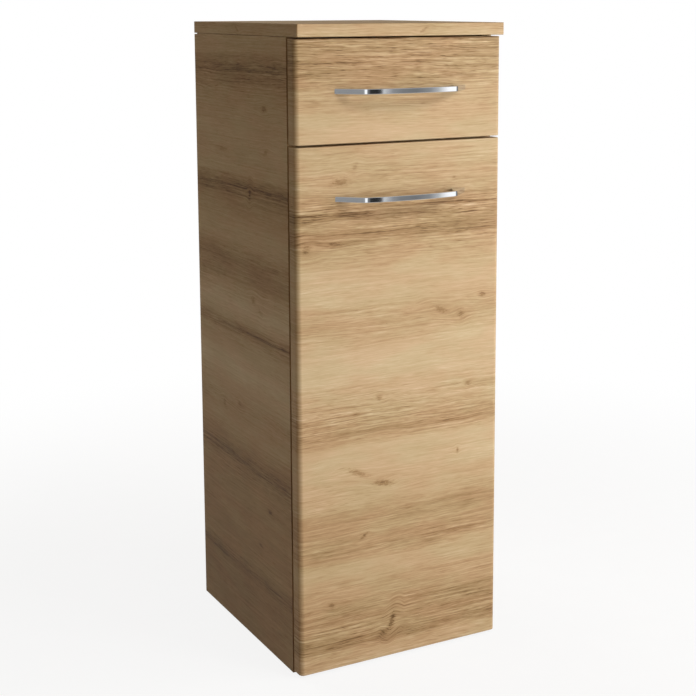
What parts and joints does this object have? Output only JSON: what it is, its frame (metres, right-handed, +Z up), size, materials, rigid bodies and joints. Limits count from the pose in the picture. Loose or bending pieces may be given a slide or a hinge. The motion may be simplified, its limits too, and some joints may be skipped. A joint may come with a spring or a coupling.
{
  "type": "bathroom floor cabinet",
  "caption": "Narrow free-standing bathroom cabinet in oak-look board with a drawer over a hinged door and flat chrome bow handles.",
  "frame": {"origin": "on the floor, under the middle of the cabinet's bounding box", "axes": "+X to the right as seen from the front, +Y to the back, +Z up"},
  "size_m": [0.3, 0.3648, 0.846],
  "materials": {
    "oak_board": "oak print on melamine, matt with a fine grain",
    "oak_front": "oak print on melamine, matt with a fine grain",
    "back_board": "painted hardboard, smooth",
    "drawer_board": "light melamine, matt",
    "chrome_handle": "polished chrome plate",
    "beech_dowel": "bare beech, fluted",
    "zinc_cam": "die-cast zinc, dull",
    "zinc_bolt": "zinc plated",
    "zinc_screw": "bright zinc plated",
    "runner_steel": "zinc plated sheet",
    "ball_steel": "polished steel",
    "hinge_steel": "nickel plated sheet",
    "clear_pad": "clear soft plastic"
  },
  "bodies": {
    "cabinet": {"side_left": "oak_board", "side_right": "oak_board", "top_panel": "oak_board", "bottom_panel": "oak_board", "divider_panel": "oak_board", "back_panel": "back_board", "shelf": "oak_board", "shelf_pins": "zinc_bolt", "cam_bolts": "zinc_bolt", "cam_locks": "zinc_cam", "carcass_dowels": "beech_dowel", "runner_cabinet_left": "runner_steel", "runner_cabinet_right": "runner_steel", "runner_cabinet_screws": "zinc_screw", "hinge_arm_upper": "hinge_steel", "hinge_arm_lower": "hinge_steel", "hinge_plate_upper": "hinge_steel", "hinge_plate_lower": "hinge_steel", "hinge_arm_pins": "hinge_steel", "hinge_plate_screws": "zinc_screw", "hinge_adjusting_screws": "zinc_screw"},
    "drawer": {"drawer_front": "oak_front", "drawer_box_front": "drawer_board", "drawer_back": "drawer_board", "drawer_side_left": "drawer_board", "drawer_side_right": "drawer_board", "drawer_bottom": "back_board", "drawer_dowels": "beech_dowel", "drawer_front_screws": "zinc_screw", "drawer_handle": "chrome_handle", "drawer_handle_screws": "zinc_screw", "drawer_bumpers": "clear_pad", "runner_drawer_left": "runner_steel", "runner_drawer_right": "runner_steel", "runner_drawer_screws": "zinc_screw"},
    "door": {"door_panel": "oak_front", "door_handle": "chrome_handle", "door_handle_screws": "zinc_screw", "door_bumpers": "clear_pad", "hinge_cup_upper": "hinge_steel", "hinge_cup_lower": "hinge_steel", "hinge_cup_pins": "hinge_steel", "hinge_cup_screws": "zinc_screw"},
    "upper_link": {"hinge_link_upper": "hinge_steel"},
    "lower_link": {"hinge_link_lower": "hinge_steel"},
    "middle_member_left": {"runner_middle_left": "runner_steel"},
    "outer_cage_left": {"outer_ball_cage_left": "runner_steel", "outer_balls_left": "ball_steel"},
    "inner_cage_left": {"inner_ball_cage_left": "runner_steel", "inner_balls_left": "ball_steel"},
    "middle_member_right": {"runner_middle_right": "runner_steel"},
    "outer_cage_right": {"outer_ball_cage_right": "runner_steel", "outer_balls_right": "ball_steel"},
    "inner_cage_right": {"inner_ball_cage_right": "runner_steel", "inner_balls_right": "ball_steel"}
  },
  "joints": [
    {"name": "drawer_slide", "type": "slide", "parent": "cabinet", "child": "drawer", "axis": [0, -1, 0], "range_m": [0, 0.25]},
    {"name": "upper_link_pivot", "type": "hinge", "parent": "cabinet", "child": "upper_link", "pos_m": [-0.117, -0.12855, 0.6045], "axis": [0, 0, 1], "range_deg": [0, 32]},
    {"name": "door_pivot", "type": "hinge", "parent": "upper_link", "child": "door", "pos_m": [-0.138, -0.13305, 0.6045], "axis": [0, 0, -1], "range_deg": [0, 128]},
    {"name": "lower_link_pivot", "type": "hinge", "parent": "cabinet", "child": "lower_link", "pos_m": [-0.117, -0.12855, 0.0943], "axis": [0, 0, 1], "range_deg": [0, 32]},
    {"name": "middle_member_left_slide", "type": "slide", "parent": "cabinet", "child": "middle_member_left", "axis": [0, -1, 0], "range_m": [0, 0.125]},
    {"name": "outer_cage_left_slide", "type": "slide", "parent": "cabinet", "child": "outer_cage_left", "axis": [0, -1, 0], "range_m": [0, 0.0625]},
    {"name": "inner_cage_left_slide", "type": "slide", "parent": "cabinet", "child": "inner_cage_left", "axis": [0, -1, 0], "range_m": [0, 0.1875]},
    {"name": "middle_member_right_slide", "type": "slide", "parent": "cabinet", "child": "middle_member_right", "axis": [0, -1, 0], "range_m": [0, 0.125]},
    {"name": "outer_cage_right_slide", "type": "slide", "parent": "cabinet", "child": "outer_cage_right", "axis": [0, -1, 0], "range_m": [0, 0.0625]},
    {"name": "inner_cage_right_slide", "type": "slide", "parent": "cabinet", "child": "inner_cage_right", "axis": [0, -1, 0], "range_m": [0, 0.1875]}
  ],
  "couplings": [
    {"joint": "upper_link_pivot", "follows": "door_pivot", "ratio": 0.25},
    {"joint": "lower_link_pivot", "follows": "door_pivot", "ratio": 0.25},
    {"joint": "middle_member_left_slide", "follows": "drawer_slide", "ratio": 0.5},
    {"joint": "outer_cage_left_slide", "follows": "drawer_slide", "ratio": 0.25},
    {"joint": "inner_cage_left_slide", "follows": "drawer_slide", "ratio": 0.75},
    {"joint": "middle_member_right_slide", "follows": "drawer_slide", "ratio": 0.5},
    {"joint": "outer_cage_right_slide", "follows": "drawer_slide", "ratio": 0.25},
    {"joint": "inner_cage_right_slide", "follows": "drawer_slide", "ratio": 0.75}
  ]
}
